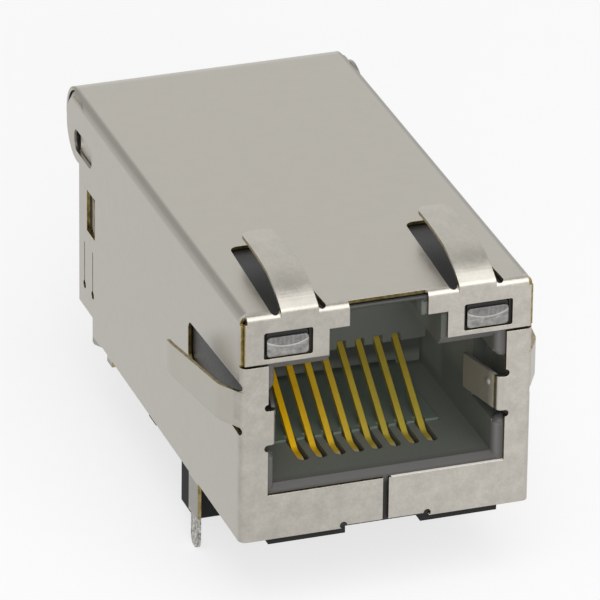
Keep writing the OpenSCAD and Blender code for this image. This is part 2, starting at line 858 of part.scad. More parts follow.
// The groove under the carrier for a contact's tail, and the notch in its front edge for the spring
module carrier_cuts(i) {
    notch_w = contact_w + 2 * slot_side;
    groove_w = contact_w + 2 * groove_side;
    translate([contact_x(i) - groove_w / 2, carrier_y - cut, shield_z])
        cube([groove_w, chamber_y, tail_z + contact_t - shield_z]);
    translate([contact_x(i) - notch_w / 2, carrier_y - cut, contact_top_z + contact_t / 2])
        cube([notch_w, cut + ridge_notch_l, floor_z]);
}

module contact_carrier() {
    color("#333331") difference() {
        translate([-carrier_w / 2, carrier_y, shield_z + carrier_bottom])
            cube([
                carrier_w, chamber_y + carrier_end_gap - carrier_y,
                floor_z + ridge_rise - shield_z - carrier_bottom
            ]);
        for (i = [1:CONTACTS]) carrier_cuts(i);
    }
}

module contact(i) {
    tail_end_y = tail_y + (i % 2) * tail_stagger;
    run = tail_end_y - tail_bend_r - hairpin_y;
    up = board_z + board_t + tail_over - tail_z - tail_bend_r;
    rise = walk([tail_end_y, tail_z + tail_bend_r + up], -90, [
        [up, tail_bend_r, -90],
        [run, hairpin_r, -180],
        [hairpin_run, spring_bend_r, contact_slope],
        [spring_l, spring_bend_r, 0]
    ]);
    color("#c8a23c") translate([contact_x(i), 0, 0]) across(contact_w) polygon(strip(rise, contact_t));
}

// Indicators

module led() {
    bottom = ceiling_z + tunnel_floor + fit;
    half = window_w / 2 + tunnel_side - fit;
    front = housing_y + front_wall() + fit;
    color("#96948f") {
        translate([window_x - half, front, bottom])
            cube([2 * half, led_l, housing_top_z - roof_skin - fit - bottom]);
        translate([window_x, sheet_t, window_z]) rotate([-90, 0, 0])
            linear_extrude(front - sheet_t + fit) rounded_rect([lens_w(), lens_h()], window_r);
    }
}

lead_y = chamber_y + lead_drop;

module led_lead(x) {
    start = housing_y + front_wall() + fit + led_l;
    down_r = 2 * led_wire;
    color("#b9b6ad") translate([x, 0, 0]) across(led_wire)
        polygon(strip(walk([start, window_z], 0, [
            [lead_y - down_r - start, down_r, -90],
            [window_z - down_r - board_z - board_t / 2, down_r, 0]
        ]), led_wire));
}

// Line module

module_half_w = chamber_half_w() - module_side_gap;
module_rear_y = housing_y + housing_l - board_rear_gap;

function signal_x(i) = (i - (SIGNAL_PINS + 1) / 2) * signal_pitch;
function signal_row_y(i) = signal_y + (i % 2) * signal_row;
function channel_x(i) = (i - (CHANNELS + 1) / 2) * 2 * module_half_w / CHANNELS;

module circuit_board() {
    front = chamber_y + board_front_gap;
    color("#2f6b3a") difference() {
        translate([-module_half_w, front, board_z]) cube([2 * module_half_w, module_rear_y - front, board_t]);
        for (i = [1:CONTACTS])
            translate([contact_x(i), tail_y + (i % 2) * tail_stagger, board_z - cut])
                cylinder(r = board_hole_r, h = board_t + 2 * cut);
        for (i = [1:SIGNAL_PINS])
            translate([signal_x(i), signal_row_y(i), board_z - cut])
                cylinder(d = signal_t * sqrt(2) + 2 * fit, h = board_t + 2 * cut);
        for (s = [-1, 1], x = [window_x - lead_x, window_x + lead_x])
            translate([s * x, lead_y, board_z - cut])
                cylinder(r = board_hole_r, h = board_t + 2 * cut);
    }
}

module magnetics_base() {
    front = chip_row_y + chip_l / 2 + row_gap;
    depth = module_rear_y - front;
    color("#2b2b2a") difference() {
        translate([0, front + depth / 2, shield_z])
            linear_extrude(board_z - shield_z)
                rounded_rect([2 * module_half_w, depth], base_corner);
        for (i = [1:SIGNAL_PINS])
            translate([signal_x(i), signal_row_y(i), (shield_z + board_z) / 2])
                cube([signal_t, signal_t, board_z], center = true);
    }
}

module signal_pin(i) {
    taper = signal_t / 2;
    shaft = pin_l + board_z + board_t - taper;
    color("#c9c5ba") translate([signal_x(i), signal_row_y(i), -pin_l + taper]) {
        translate([-signal_t / 2, -signal_t / 2, 0]) cube([signal_t, signal_t, shaft]);
        rotate([90, 0, 0]) linear_extrude(signal_t, center = true)
            polygon([[-signal_t / 2, 0], [signal_t / 2, 0], [taper / 2, -taper], [-taper / 2, -taper]]);
    }
}

// A ring of the given section, and the wire wound round most of it
module ring_section(d, h, grow) {
    bore = d * core_bore_share;
    translate([bore / 2 - grow, -grow]) square([(d - bore) / 2 + 2 * grow, h + 2 * grow]);
}

module ring_core(d, h) {
    rotate_extrude() ring_section(d, h, 0);
}

module ring_winding(d, h) {
    rotate_extrude(angle = winding_turn) difference() {
        ring_section(d, h, winding_t);
        ring_section(d, h, 0);
    }
}

module in_core_row(i, y) {
    translate([channel_x(i), y, board_z + board_t + winding_t]) children();
}

// Under the board, two resistors lie on each side of the capacitor
function chip_x(i) =
    let (k = i - (CHANNELS + 1) / 2)
    sign(k) * (capacitor_l / 2 + (floor(abs(k)) + 1) * (chip_gap + chip_w) - chip_w / 2);

module termination_resistor(i) {
    color("#1d1d1f") translate([chip_x(i) - chip_w / 2, chip_row_y - chip_l / 2, board_z - chip_h])
        cube([chip_w, chip_l, chip_h]);
}

module isolation_capacitor() {
    color("#a8794a") translate([-capacitor_l / 2, chip_row_y - capacitor_w / 2, board_z - capacitor_h])
        cube([capacitor_l, capacitor_w, capacitor_h]);
}

// Every piece is drawn from the front face, then moved so that the posts lie beside the origin
module place() {
    translate([0, -post_y, 0]) children();
}

place() shield();
place() housing();
place() contact_carrier();
for (i = [1:CONTACTS])
    place() contact(i);
place() led();  // led_right
place() mirror([1, 0, 0]) led();  // led_left
for (x = [-1, 1]) {
    side = x < 0 ? "inner" : "outer";
    lead = window_x + x * lead_x;
    place() led_lead(lead);
    place() led_lead(-lead);
}
place() circuit_board();
place() magnetics_base();
for (i = [1:SIGNAL_PINS])
    place() signal_pin(i);
for (i = [1:CHANNELS]) {
    place() in_core_row(i, core_row_y) color("#4a4744") ring_core(core_d, core_h);
    place() in_core_row(i, core_row_y) color("#b5532a") ring_winding(core_d, core_h);
    place() in_core_row(i, choke_row_y) color("#4a4744") ring_core(choke_d, choke_h);
    place() in_core_row(i, choke_row_y) color("#b5532a") ring_winding(choke_d, choke_h);
    place() termination_resistor(i);
}
place() isolation_capacitor();
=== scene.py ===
"""Dresses the shielded board jack and lights it as a studio product photograph."""
import math

import bmesh
import bpy
from mathutils import Matrix, Vector


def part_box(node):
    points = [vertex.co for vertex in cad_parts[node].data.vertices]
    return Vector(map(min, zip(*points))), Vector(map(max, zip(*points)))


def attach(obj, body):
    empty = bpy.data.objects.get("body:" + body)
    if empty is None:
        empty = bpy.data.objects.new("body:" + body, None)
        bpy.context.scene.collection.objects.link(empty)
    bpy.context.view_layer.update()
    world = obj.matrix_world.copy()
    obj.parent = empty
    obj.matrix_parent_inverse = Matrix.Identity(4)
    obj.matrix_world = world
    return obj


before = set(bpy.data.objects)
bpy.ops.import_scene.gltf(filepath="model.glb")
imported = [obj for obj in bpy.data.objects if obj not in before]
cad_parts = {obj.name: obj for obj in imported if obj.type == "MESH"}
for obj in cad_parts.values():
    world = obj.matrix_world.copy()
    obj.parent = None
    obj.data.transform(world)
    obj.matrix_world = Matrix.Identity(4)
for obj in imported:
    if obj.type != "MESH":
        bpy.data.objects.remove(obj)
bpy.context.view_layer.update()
bpy.context.scene.view_settings.view_transform = "Standard"

MM = 0.001

# The jack's measures in millimetres. Z = 0 is the board's top face, and a depth counts back from the front.
FRONT = -10.05
SHIELD_W = 15.9
SHEET = 0.2
BOTTOM = 0.5
ROOF = 13.45
PIN_L = 3.5
PITCH = 1.016
SPRING_COUNT = 8
CHIP_CAP = 0.3
# Half the width of the notch in the roof above the latch
LATCH_HALF = 2.1

# The front plates and their bends reach this deep, and the painted light that makes the right plate lighter
# than the left levels off this far to either side
FRONT_BEND = 0.6
PLATE_X = 4.0
# The painted shade along the long bends: in from the side face, and down from the roof
BEND_IN = (0.52, 0.34)
BEND_DOWN = (0.5, 0.12)
# What stands this far above the roof is a finger
RISE = 0.02
# The ground tabs in the cavity: their depth, the depth of the painted shade on their fold, their top, and the
# root of each one
TAB_DEPTH = (0.4, 8.0)
TAB_FOLD = (0.5, 0.95)
TAB_TOP = ROOF - 3.0
TAB_ROOT_X = 6.42
TAB_ROOT_Z = (5.98, 7.97)
# A cut face lies at least this far between the sheet's two skins, and behind the front bends
SKIN = 0.01
BEHIND_BEND = 0.42
LATCH_EDGE = 0.1
# The round heads at the rear of the side panels start here
HEAD_DEPTH = 25.25
HEAD_Z = 9.85
# How far out a finger shows brass on its side, and the depth where it comes in
FINGER_LIFT = 0.03
FINGER_RAMP = (1.8, 2.6)
# The top of the painted shade on the pins, and the uneven edge of the solder on them
PIN_TOP = BOTTOM - 0.12
SOLDER_Z = (-1.0, -1.5)
SOLDER_UNEVEN = 0.8
# A painted highlight on the upper edge of the right plate
HIGHLIGHT_X = 0.3
HIGHLIGHT_TOP = BOTTOM + 3.0

# The plug's cavity in the housing: its depth, sides, floor, top, ceiling beside the latch slot, and that slot
CAVITY_DEPTH = (0.1, 0.35)
CAVITY_SIDE = 6.9
CAVITY_FLOOR = (BOTTOM + 2.2, BOTTOM + 2.5)
CAVITY_TOP = ROOF - 0.3
CEILING = 10.75
LATCH_SIDE = 3.4
# Its painted light and shade change over these depths and heights
MOUTH = (0.7, 1.3)
DEEP = (1.5, 9.0)
RECESS = (11.0, 11.4)
BLOCK_Z = (5.5, 6.5)
BLOCK_DEPTH = (2.0, 3.0)
BACK_Z = (3.8, 4.2)
BACK_DEPTH = (8.0, 8.5)
UNDER_ROOF_Z = (11.9, 12.21)
UNDER_ROOF_DEPTH = 1.2

# The springs' painted light along the row and painted shade along each spring, the painted highlight at the
# tip, and the edge off the middle line
ROW_X = (-4.0, 1.0)
SPRING_DEPTH = (4.0, 8.0)
TIP_DEPTH = (3.75, 3.45)
TIP_UNEVEN = 0.4
SPRING_EDGE = (0.15, 0.2)

# The indicators' lenses: centre, half sizes and corner radius. Points closer than MERGE metres are one.
WINDOW_X = 5.435
WINDOW_Z = 11.7
LENS = (WINDOW_X, WINDOW_Z - 0.15)
LENS_HALF = (1.13, 0.55)
LENS_CORNER = 0.2
LEAST_CORNER = 0.04
MERGE = 1e-8
# Depths of the cap's back, shoulder and crown, the width of its rolled edge and of its crowned rim
LENS_BACK = SHEET + 0.02
LENS_SHOULDER = 0.1
LENS_CROWN = 0.035
LENS_ROLL = 0.09
CROWN_RUN = 0.4
# The cup behind the lens ends at an arc of an ellipse, along which a painted highlight runs: its centre above
# the lens's, and its half sizes
RIM_UP = 1.6
RIM_HALF = (2.0, 1.58)


def srgb(*channels):
    """The light that a screen color stands for, from channels of 0 to 255."""
    shares = (c / 255 for c in channels)
    return tuple(s / 12.92 if s <= 0.04045 else ((s + 0.055) / 1.055) ** 2.4 for s in shares)


def shade(color, factor):
    """The color made lighter or darker, and white at most."""
    return tuple(min(1.0, c * factor) for c in color)


class Tree:
    """A node tree, with one method for each kind of node used here."""

    def __init__(self, tree):
        self.tree = tree
        tree.nodes.clear()

    def node(self, kind, settings=None, **sockets):
        n = self.tree.nodes.new(kind)
        for key, value in (settings or {}).items():
            setattr(n, key, value)
        for key, value in sockets.items():
            self.put(n, key.replace("_", " "), value)
        return n

    def put(self, n, key, value):
        """Links a socket, or sets a value, on the input with this name or number."""
        socket = n.inputs[key]
        if isinstance(value, bpy.types.NodeSocket):
            self.tree.links.new(value, socket)
        else:
            socket.default_value = value

    def fill(self, n, values, first=0):
        """Puts the values on the inputs from number first on."""
        for index, value in enumerate(values, first):
            self.put(n, index, value)

    def math(self, op, *values, clamp=False):
        n = self.node("ShaderNodeMath", {"operation": op, "use_clamp": clamp})
        self.fill(n, values)
        return n.outputs[0]

    def product(self, total, *factors):
        for factor in factors:
            total = self.math("MULTIPLY", total, factor)
        return total

    def either(self, a, b):
        return self.math("MAXIMUM", a, b)

    def outside(self, mask):
        return self.math("SUBTRACT", 1.0, mask)

    def above(self, value, limit):
        return self.math("GREATER_THAN", value, limit)

    def below(self, value, limit):
        return self.math("LESS_THAN", value, limit)

    def between(self, value, low, high):
        return self.product(self.above(value, low), self.below(value, high))

    def size(self, value):
        return self.math("ABSOLUTE", value)

    def span(self, value, limits, to=(0.0, 1.0)):
        """Runs from to[0] at limits[0] to to[1] at limits[1], and stays level outside them."""
        n = self.node("ShaderNodeMapRange", {"clamp": True})
        self.fill(n, (value, *limits, *to))
        return n.outputs[0]

    def axes(self, vector):
        return self.node("ShaderNodeSeparateXYZ", Vector=vector).outputs

    def point(self, stretch=(1, 1, 1)):
        """The place on the object in millimetres, stretched along the axes."""
        n = self.node("ShaderNodeVectorMath", {"operation": "MULTIPLY"})
        self.fill(n, (self.node("ShaderNodeTexCoord").outputs["Object"], tuple(s / MM for s in stretch)))
        return n.outputs[0]

    def place(self):
        """x, the depth behind the front and z, in millimetres."""
        x, y, z = self.axes(self.point())
        return x, self.math("SUBTRACT", y, FRONT), z

    def facing(self):
        """The surface's direction along x, y and z."""
        return self.axes(self.node("ShaderNodeTexCoord").outputs["Normal"])

    def noise(self, scale, detail=3.0, rough=0.5, stretch=(1, 1, 1)):
        """Noise with about scale waves to the millimetre."""
        return self.node(
            "ShaderNodeTexNoise", Vector=self.point(stretch), Scale=scale, Detail=detail, Roughness=rough
        ).outputs[0]

    def wave(self, scale, distortion, **settings):
        n = self.node("ShaderNodeTexWave", settings, Vector=self.point(), Scale=scale, Distortion=distortion)
        return n.outputs["Fac"]

    def mix(self, factor, a, b):
        """From color a to color b."""
        n = self.node("ShaderNodeMix", {"data_type": "RGBA"})
        self.put(n, 0, factor)
        self.fill(n, ((*c, 1.0) if isinstance(c, tuple) else c for c in (a, b)), 6)
        return n.outputs[2]

    def blend(self, factor, a, b):
        """From number a to number b."""
        n = self.node("ShaderNodeMix", {"data_type": "FLOAT"})
        self.put(n, 0, factor)
        self.fill(n, (a, b), 2)
        return n.outputs[0]

    def dim(self, color, factor):
        """The color, scaled by a factor that varies over the surface."""
        n = self.node("ShaderNodeVectorMath", {"operation": "SCALE"}, Scale=factor)
        self.put(n, 0, color)
        return n.outputs[0]

    def ramp(self, factor, tones):
        """A run of greys, each at its place between 0 and 1."""
        n = self.node("ShaderNodeValToRGB")
        self.put(n, 0, factor)
        stops = n.color_ramp.elements
        while len(stops) < len(tones):
            stops.new(0.5)
        for stop, (position, tone) in zip(stops, tones):
            stop.position = position
            stop.color = (tone, tone, tone, 1)
        return n.outputs[0]

    def shaders(self, factor, a, b):
        """From shader a to shader b."""
        n = self.node("ShaderNodeMixShader")
        self.fill(n, (factor, a, b))
        return n.outputs[0]

    def mirrored(self, rays):
        """1 for what a glossy or a clear surface shows."""
        return self.either(rays["Is Glossy Ray"], rays["Is Transmission Ray"])


class Net(Tree):
    """A material's node tree, round one principled shader."""

    def __init__(self, name):
        self.mat = bpy.data.materials.new(name)
        self.mat.use_nodes = True
        super().__init__(self.mat.node_tree)
        self.shader = self.node("ShaderNodeBsdfPrincipled")
        self.out = self.node("ShaderNodeOutputMaterial", Surface=self.shader.outputs[0])

    def set(self, **sockets):
        for key, value in sockets.items():
            self.put(self.shader, key.replace("_", " "), value)

    def surface(self, edge, height=None, bump=0.01):
        """Rounds the edges by edge millimetres and lays the height on them, bump millimetres high."""
        normal = self.node("ShaderNodeBevel", {"samples": 8}, Radius=edge * MM).outputs[0]
        if height is not None:
            normal = self.node(
                "ShaderNodeBump", Strength=1.0, Distance=bump * MM, Height=height, Normal=normal
            ).outputs[0]
        self.put(self.shader, "Normal", normal)


def sheet_metal():
    """Satin tin plate: bare brass on the cut edges, solder on the pins and a painted highlight along the
    upper edge of the right plate.
    """
    net = Net("tin_plate")
    x, depth, z = net.place()
    aside = net.size(x)
    cloud = net.noise(0.9, 5.0, 0.62)
    grain = net.noise(7.0, 4.0, 0.65, (1, 0.45, 1))
    lumps = net.noise(4.5, 5.0, 0.7)
    front = net.below(depth, FRONT_BEND)
    tabs = net.product(
        net.between(depth, *TAB_DEPTH), net.below(aside, SHIELD_W / 2 - 2 * SHEET), net.below(z, TAB_TOP)
    )
    brass = net.mix(net.span(net.noise(3.5), (0.35, 0.7)), srgb(126, 108, 58), srgb(176, 160, 110))
    notch_edge = net.product(
        front, net.below(aside, LATCH_HALF + LATCH_EDGE), net.above(z, ROOF - SHEET - LATCH_EDGE)
    )
    brass = net.dim(brass, net.blend(notch_edge, 1.0, 0.42))
    base = net.dim(srgb(188, 184, 175), sheet_level(net, cloud, grain, front, tabs))
    base = net.mix(cut_faces(net), base, brass)
    solder = net.span(net.math("ADD", z, net.product(net.noise(1.6), SOLDER_UNEVEN)), SOLDER_Z)
    soldered = net.mix(net.span(lumps, (0.4, 0.62)), srgb(120, 118, 112), srgb(226, 224, 218))
    base = net.mix(solder, base, soldered)
    # Painted highlight: the right plate's upper edge is made pale and almost not metallic, so that it shows
    # as a bright line
    edge_highlight = net.product(front, net.above(net.facing()[2], 0.7), net.above(x, HIGHLIGHT_X), net.below(z, HIGHLIGHT_TOP))
    base = net.mix(edge_highlight, base, srgb(244, 238, 228))
    rough = net.span(net.math("ADD", cloud, grain), (0.7, 1.3), (0.28, 0.38))
    net.set(
        Base_Color=base,
        Metallic=net.product(net.blend(tabs, 1.0, 0.6), net.blend(edge_highlight, 1.0, 0.1)),
        Roughness=net.blend(net.either(solder, tabs), rough, 0.42),
    )
    height = net.math("ADD", net.noise(1.1, 2.0), net.product(grain, 0.06))
    height = net.math("ADD", height, net.product(lumps, solder, 5.0))
    net.surface(edge=0.05, height=height, bump=0.01)
    return net.mat


def sheet_level(net, cloud, grain, front, tabs):
    """How bright the sheet is: clouded, with painted shade along its bends, on the pins and on the tabs in
    the cavity, and painted light on the right front plate.
    """
    x, depth, z = net.place()
    level = net.product(
        net.span(cloud, (0.3, 0.7), (0.975, 1.025)), net.span(grain, (0.25, 0.75), (0.992, 1.008))
    )
    # Painted shade along the long bends between the roof and the sides
    bend_shade = net.product(
        net.span(net.size(x), (SHIELD_W / 2 - BEND_IN[0], SHIELD_W / 2 - BEND_IN[1])),
        net.span(z, (ROOF - BEND_DOWN[0], ROOF - BEND_DOWN[1])),
    )
    rubbed = net.product(
        net.span(grain, (0.3, 0.7), (0.96, 1.08)), net.span(cloud, (0.35, 0.65), (0.98, 1.04))
    )
    level = net.product(level, net.blend(bend_shade, 1.0, 0.6), net.blend(net.above(z, ROOF + RISE), 1.0, rubbed))
    # Random mottle on the front plates, and painted light that makes the right plate lighter than the left,
    # as if tilted to the lamps
    mottle_and_tilt_light = net.product(
        net.span(cloud, (0.35, 0.65), (0.9, 1.08)), net.span(grain, (0.3, 0.7), (0.92, 1.06)),
        net.span(x, (-PLATE_X, PLATE_X), (0.95, 1.06)),
    )
    level = net.blend(front, level, mottle_and_tilt_light)
    # Painted shade on the tabs' folds inside the cavity
    folded_tab_shade = net.product(tabs, net.span(depth, TAB_FOLD))
    # Painted shade darkens the pins below the board
    return net.product(level, net.blend(net.below(z, PIN_TOP), 1.0, 0.62), net.blend(folded_tab_shade, 1.0, 0.55))


def cut_faces(net):
    """1 on the sheet's cut edges: between the two skins of a panel, and facing along it."""
    x, depth, z = net.place()
    aside = net.size(x)
    nx, ny, nz = (net.size(n) for n in net.facing())
    rear_head = net.product(net.above(depth, HEAD_DEPTH), net.above(z, HEAD_Z))
    tab_root = net.product(net.below(aside, TAB_ROOT_X), net.between(z, *TAB_ROOT_Z))
    panels = (
        (aside, SHIELD_W / 2 - SHEET, nx, net.outside(rear_head)),
        (depth, 0.0, ny, net.outside(tab_root)),
        (z, ROOF - SHEET, nz, net.either(net.above(depth, BEHIND_BEND), net.below(aside, LATCH_HALF))),
    )
    finger_side = net.product(
        net.above(z, ROOF + FINGER_LIFT), net.above(nx, 0.7), net.span(depth, FINGER_RAMP)
    )
    finger_end = net.product(net.above(aside, SHIELD_W / 2 + FINGER_LIFT), net.above(nz, 0.6))
    total = net.product(net.either(finger_side, finger_end), 0.75)
    for across, inner_skin, normal, where in panels:
        edge = net.between(across, inner_skin + SKIN, inner_skin + SHEET - SKIN)
        total = net.either(total, net.product(edge, net.below(normal, 0.3), where))
    return total


def black_plastic(name, color, cavity=None):
    """Glass-filled nylon: dark, with a grain of short fibres and matt feet, and painted paler in the plug's
    cavity, as light inside it.
    """
    net = Net(name)
    grain = net.noise(9.0, 4.0, 0.65)
    fibre = net.span(net.noise(5.0, 2.0, 0.5, (4, 0.6, 4)), (0.45, 0.75))
    base = net.mix(fibre, color, shade(color, 1.3))
    if cavity:
        # Inside the cavity the colour is painted light and shade, not the nylon's own colour
        base = net.mix(in_cavity(net), base, cavity_painted_light(net, cavity, fibre))
    feet = net.below(net.place()[2], BOTTOM)
    rough = net.blend(feet, net.span(grain, (0.3, 0.7), (0.34, 0.46)), 0.8)
    net.set(Base_Color=base, Roughness=rough, Specular_IOR_Level=0.4)
    net.surface(edge=0.05, height=grain, bump=0.006)
    return net.mat


def in_cavity(net):
    """1 inside the plug's cavity and the latch slot over it."""
    x, depth, z = net.place()
    aside = net.size(x)
    open_to_plug = net.either(net.below(z, CEILING), net.below(aside, LATCH_SIDE))
    return net.product(
        net.span(depth, CAVITY_DEPTH), net.span(z, CAVITY_FLOOR), net.below(z, CAVITY_TOP),
        net.below(aside, CAVITY_SIDE), open_to_plug,
    )


def cavity_painted_light(net, color, fibre):
    """Painted light and shade: paler with depth, on the side walls most, painted shade high up and at the
    back, and painted light grey at the mouth, paler on the faces that look up.
    """
    _, depth, z = net.place()
    nx, _, nz = net.facing()
    block = net.product(net.span(z, BLOCK_Z), net.span(depth, BLOCK_DEPTH))
    back = net.product(net.span(z, BACK_Z), net.span(depth, BACK_DEPTH))
    under_roof = net.product(net.span(z, UNDER_ROOF_Z), net.below(depth, UNDER_ROOF_DEPTH))
    high = net.either(net.either(block, back), under_roof)
    wall = net.above(net.size(nx), 0.5)
    tone = net.blend(wall, net.blend(high, 1.0, 0.5), net.blend(high, 1.0, 1.4))
    tone = net.product(tone, net.span(depth, RECESS, (1.0, 0.66)))
    # Painted light at the mouth, paler on the faces that look up
    mouth = net.product(net.span(depth, MOUTH, (1.0, 0.0)), net.below(z, CEILING))
    lip = net.above(nz, 0.3)
    near = net.mix(fibre, color, shade(color, 1.12))
    near = net.mix(mouth, near, net.mix(lip, srgb(98, 96, 94), srgb(80, 79, 78)))
    return net.dim(net.mix(net.span(depth, DEEP), near, shade(color, 1.75)), tone)


def gold(name):
    """Gold over nickel, with painted light: duller towards the right of the row and darker deeper in, dark on
    the edges, and a painted pale highlight at the tip.
    """
    net = Net(name)
    x, depth, _ = net.place()
    wear = net.noise(1.1, 3.0, 0.5, (0.5, 0.5, 0.5))
    # Painted light: the springs on the left of the row are lighter, and each is painted darker deeper in, as
    # shade
    bright = net.mix(net.span(x, ROW_X), srgb(255, 198, 4), srgb(196, 174, 66))
    bright = net.dim(bright, net.span(depth, SPRING_DEPTH, (1.1, 0.9)))
    base = net.mix(net.span(wear, (0.38, 0.62)), bright, net.dim(bright, 0.86))
    # Painted highlight at the tip of each spring
    tip = net.span(net.math("ADD", depth, net.product(wear, TIP_UNEVEN)), TIP_DEPTH)
    base = net.mix(net.product(tip, 0.75), base, srgb(206, 196, 150))
    share = net.math("FRACT", net.math("DIVIDE", net.math("ADD", x, SPRING_COUNT * PITCH), PITCH))
    off_middle = net.product(net.size(net.math("SUBTRACT", share, 0.5)), PITCH)
    base = net.mix(net.span(off_middle, SPRING_EDGE, (0.0, 0.8)), base, srgb(84, 86, 62))
    net.set(Base_Color=base, Metallic=0.4, Roughness=net.span(wear, (0.3, 0.7), (0.28, 0.38)))
    net.surface(edge=0.03)
    return net.mat


def bright_pin(name):
    """Hot-dipped tin on a square wire."""
    net = Net(name)
    lump = net.noise(2.2, 4.0, 0.6)
    base = net.mix(net.span(lump, (0.35, 0.7)), srgb(190, 188, 182), srgb(214, 211, 204))
    net.set(Base_Color=base, Metallic=1.0, Roughness=net.span(lump, (0.3, 0.7), (0.26, 0.42)))
    net.surface(edge=0.05, height=lump, bump=0.02)
    return net.mat


def lens():
    """Milky epoxy over an unlit chip, with the ribs of the cup inside it and a painted highlight along the
    cup's curved edge.
    """
    net = Net("indicator_lens")
    x, _, z = net.axes(net.point())
    u = net.math("DIVIDE", net.math("SUBTRACT", net.size(x), LENS[0]), RIM_HALF[0])
    v = net.math("DIVIDE", net.math("SUBTRACT", z, LENS[1] + RIM_UP), RIM_HALF[1])
    off = net.math("SQRT", net.math("ADD", net.product(u, u), net.product(v, v)))
    from_rim = net.product(net.size(net.math("SUBTRACT", off, 1.0)), 24.0)
    # A painted highlight along the arc
    arc_highlight = net.math("SUBTRACT", 1.0, from_rim, clamp=True)
    haze = net.noise(2.6, 4.0, 0.6)
    streak = net.noise(3.0, 3.0, 0.6, (0.5, 1, 2.4))
    base = net.mix(net.span(haze, (0.32, 0.68)), srgb(88, 87, 85), srgb(134, 132, 128))
    base = net.mix(net.span(streak, (0.52, 0.72), (0.0, 0.5)), base, srgb(158, 156, 152))
    ribs = net.math("SINE", net.product(net.math("ADD", x, net.product(haze, 0.5)), 26.0))
    cup = net.product(net.below(off, 0.97), net.span(ribs, (-1.0, 1.0), (0.35, 0.6)))
    base = net.mix(cup, base, srgb(70, 69, 68))
    # The painted highlight laid over the lens
    base = net.mix(net.product(arc_highlight, 0.5), base, srgb(196, 194, 190))
    net.set(
        Base_Color=base, Roughness=net.span(haze, (0.3, 0.7), (0.16, 0.3)),
        Coat_Weight=0.5, Coat_Roughness=0.1, IOR=1.52,
    )
    net.surface(edge=0.04, height=net.math("ADD", streak, arc_highlight), bump=0.03)
    return net.mat


def circuit_board():
    """Green solder mask over the weave of the glass cloth."""
    net = Net("solder_mask")
    cloth = net.product(net.wave(1.2, 0.6, bands_direction="X"), net.wave(1.2, 0.6, bands_direction="Y"))
    base = net.mix(cloth, srgb(34, 84, 48), srgb(52, 108, 62))
    net.set(Base_Color=base, Roughness=0.34, Coat_Weight=0.4, Coat_Roughness=0.18)
    net.surface(edge=0.04, height=cloth, bump=0.006)
    return net.mat


def ferrite():
    """Sintered ferrite: matt and dark, with a fine grain."""
    net = Net("ferrite")
    grain = net.noise(12.0, 5.0, 0.7)
    base = net.mix(net.span(grain, (0.35, 0.7)), srgb(52, 50, 49), srgb(84, 80, 77))
    net.set(Base_Color=base, Roughness=net.span(grain, (0.3, 0.7), (0.55, 0.75)))
    net.surface(edge=0.06, height=grain, bump=0.02)
    return net.mat


def winding():
    """Enamelled copper wire, laid turn by turn round the ring."""
    net = Net("enamelled_wire")
    turns = net.wave(1.6, 1.5, wave_type="RINGS", rings_direction="Z")
    base = net.mix(turns, srgb(120, 48, 24), srgb(206, 108, 62))
    net.set(Base_Color=base, Metallic=0.7, Roughness=0.32, Coat_Weight=0.5, Coat_Roughness=0.1)
    net.surface(edge=0.04, height=turns, bump=0.05)
    return net.mat


def chip(name, body, node, axis):
    """A chip part: its body, with tinned caps on its two ends along the axis."""
    net = Net(name)
    low, high = (corner[axis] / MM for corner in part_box(node))
    off = net.size(net.math("SUBTRACT", net.axes(net.point())[axis], (low + high) / 2))
    cap = net.above(off, (high - low) / 2 - CHIP_CAP)
    speck = net.noise(10.0, 4.0, 0.6)
    base = net.mix(net.span(speck, (0.35, 0.7)), body, shade(body, 1.2))
    base = net.mix(cap, base, srgb(200, 198, 190))
    net.set(Base_Color=base, Metallic=cap, Roughness=net.span(speck, (0.3, 0.7), (0.35, 0.5)))
    net.surface(edge=0.05, height=speck, bump=0.01)
    return net.mat


def paint(mat, *names):
    """Gives the nodes this material, and leaves their meshes as they are."""
    for name in names:
        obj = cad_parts[name]
        if not obj.material_slots:
            obj.data.materials.append(mat)
        for slot in obj.material_slots:
            slot.link = "OBJECT"
            slot.material = mat


def numbered(stem):
    """The nodes called stem_1, stem_2 and so on."""
    return [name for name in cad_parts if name.rpartition("_")[0] == stem and name[-1].isdigit()]


BLACK = srgb(26, 26, 26)

paint(sheet_metal(), "shield")
# The third colour is the cavity's painted light, not the nylon's own colour
paint(black_plastic("black_housing", BLACK, srgb(92, 95, 89)), "housing")
paint(black_plastic("black_carrier", BLACK, srgb(86, 95, 86)), "contact_carrier")
paint(black_plastic("black_base", srgb(28, 28, 28)), "magnetics_base")
paint(black_plastic("black_epoxy", srgb(24, 23, 23)), "led_left", "led_right")
paint(gold("gold_spring"), *numbered("contact"))
paint(
    bright_pin("tinned_pin"), *numbered("signal_pin"),
    "led_inner_lead_left", "led_inner_lead_right", "led_outer_lead_left", "led_outer_lead_right",
)
paint(circuit_board(), "circuit_board")
paint(ferrite(), *numbered("transformer_core"), *numbered("choke_core"))
paint(winding(), *numbered("transformer_winding"), *numbered("choke_winding"))
paint(chip("chip_resistor", srgb(30, 30, 33), "termination_resistor_1", 1), *numbered("termination_resistor"))
paint(chip("ceramic_capacitor", srgb(150, 104, 66), "isolation_capacitor", 0), "isolation_capacitor")


def add(name, data):
    """A new object in the scene."""
    obj = bpy.data.objects.new(name, data)
    bpy.context.scene.collection.objects.link(obj)
    return obj


def rounded_loop(half_w, half_h, corner, steps=8):
    """The points of a rounded rectangle round the origin, drawn in X and Z."""
    loop = []
    for quarter, (sx, sz) in enumerate(((1, 1), (-1, 1), (-1, -1), (1, -1))):
        for k in range(steps + 1):
            a = math.radians(90 * (quarter + k / steps))
            loop.append((
                sx * (half_w - corner) + corner * math.cos(a), sz * (half_h - corner) + corner * math.sin(a)
            ))
    return loop


